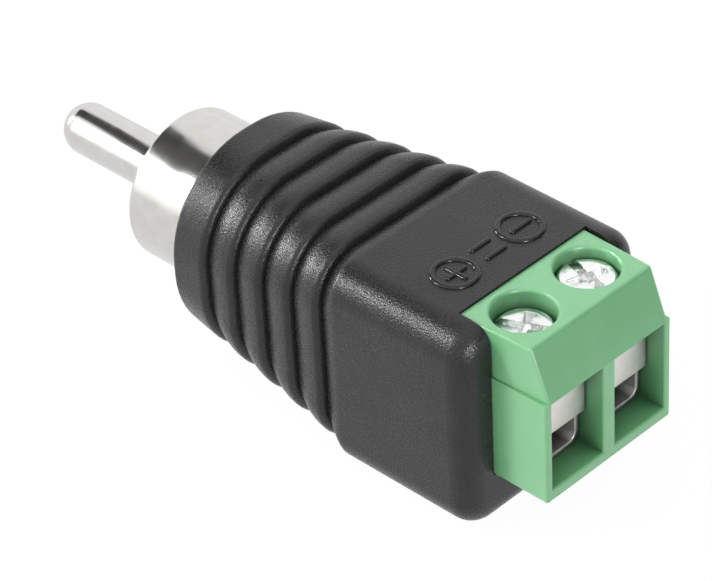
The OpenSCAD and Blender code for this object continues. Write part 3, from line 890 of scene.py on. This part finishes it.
def makeWorld():
    world = bpy.data.worlds.new("whiteStudio")
    world.use_nodes = True
    tree = world.node_tree
    background = next(n for n in tree.nodes if n.type == "BACKGROUND")
    background.inputs["Color"].default_value = (1, 1, 1, 1)
    strength = addNode(tree, "ShaderNodeMapRange", {"Value": seenDirectly(tree)},
                       {"To Min": studio["ambient"], "To Max": 1.0})
    tree.links.new(strength.outputs[0], background.inputs["Strength"])
    scene.world = world


def makeFloor():
    floor = plainSheet("floor", studio["floorSize"])
    floor.data.transform(Matrix.Translation((0, 0, housingLow.z - studio["floorDrop"])))
    material, tree, shader, _ = newMaterial("paleFloor")
    tone = studio["floorTone"]
    shader.inputs["Base Color"].default_value = (tone, tone, tone, 1)
    shader.inputs["Roughness"].default_value = 0.9
    path = tree.nodes.new("ShaderNodeLightPath")
    mirrored, seen = studio["floorGlow"]
    level = addNode(tree, "ShaderNodeMapRange", {"Value": path.outputs["Is Camera Ray"]},
                    {"To Min": mirrored, "To Max": seen})
    glow = addNode(tree, "ShaderNodeEmission", {"Strength": level.outputs[0]}, {"Color": (1, 1, 1, 1)})
    white = addNode(tree, "ShaderNodeMapRange", {"Value": seenDirectly(tree)},
                    {"To Min": 0.0, "To Max": 1 - studio["shadowShare"]})
    mixed = addNode(tree, "ShaderNodeMixShader",
                    {0: white.outputs[0], 1: shader.outputs[0], 2: glow.outputs[0]})
    result = next(n for n in tree.nodes if n.type == "OUTPUT_MATERIAL")
    tree.links.new(mixed.outputs[0], result.inputs["Surface"])
    dress(floor, material)


def hideFromCamera(piece, material, lights=False):
    dress(piece, material)
    piece.visible_camera = piece.visible_shadow = piece.visible_transmission = False
    piece.visible_diffuse = lights


def makeDarkCard(name, corners):
    shape = bmesh.new()
    shape.faces.new([shape.verts.new(Vector(corner) * mm) for corner in corners])
    material, _, shader, _ = newMaterial(name + "Black")
    shader.inputs["Base Color"].default_value = (*studio["cardTone"], 1)
    shader.inputs["Roughness"].default_value = 0.9
    hideFromCamera(meshFromShape(name, shape), material)


def facing(piece, toward, distance):
    toward = Vector(toward).normalized()
    piece.location = (cadBounds[0] + cadBounds[1]) / 2 + toward * distance
    piece.rotation_mode = "QUATERNION"
    piece.rotation_quaternion = toward.to_track_quat("Z", "Y")


def makeSoftBox(name, setup):
    # bright spots that fade to the white of the surround, so that metal shows no edge
    box = plainSheet(name, setup["size"])
    facing(box, setup["toward"], studio["softBoxDistance"])
    material, tree, shader, coords = newMaterial(name + "Glow")
    across = addNode(tree, "ShaderNodeSeparateXYZ", {0: coords}).outputs
    total = 1.0
    for glow in setup["glows"]:
        far = 0.0
        for axis in (0, 1):
            offset = calc(tree, "SUBTRACT", across[axis], glow["spot"][axis])
            share = calc(tree, "DIVIDE", offset, glow["radius"][axis])
            far = calc(tree, "ADD", far, calc(tree, "MULTIPLY", share, share))
        fall = calc(tree, "EXPONENT", calc(tree, "MULTIPLY", far, -1))
        total = calc(tree, "ADD", total, calc(tree, "MULTIPLY", fall, glow["strength"]))
    tree.links.new(total, shader.inputs["Emission Strength"])
    shader.inputs["Emission Color"].default_value = (1, 1, 1, 1)
    shader.inputs["Base Color"].default_value = (0, 0, 0, 1)
    shader.inputs["Specular IOR Level"].default_value = 0
    hideFromCamera(box, material, setup["lights"])


def makeLamp(name, setup):
    data = bpy.data.lights.new(name, "AREA")
    data.shape = "RECTANGLE"
    data.size, data.size_y = setup["size"]
    data.energy = setup["power"]
    facing(link(bpy.data.objects.new(name, data)), setup["toward"], setup["distance"])


makeWorld()
makeFloor()
for name in ("bandCard", "slopeCard"):
    makeDarkCard(name, studio[name])
for name, setup in studio["softBoxes"].items():
    makeSoftBox(name, setup)
makeLamp("topPanel", studio["topPanel"])
print("studio made")
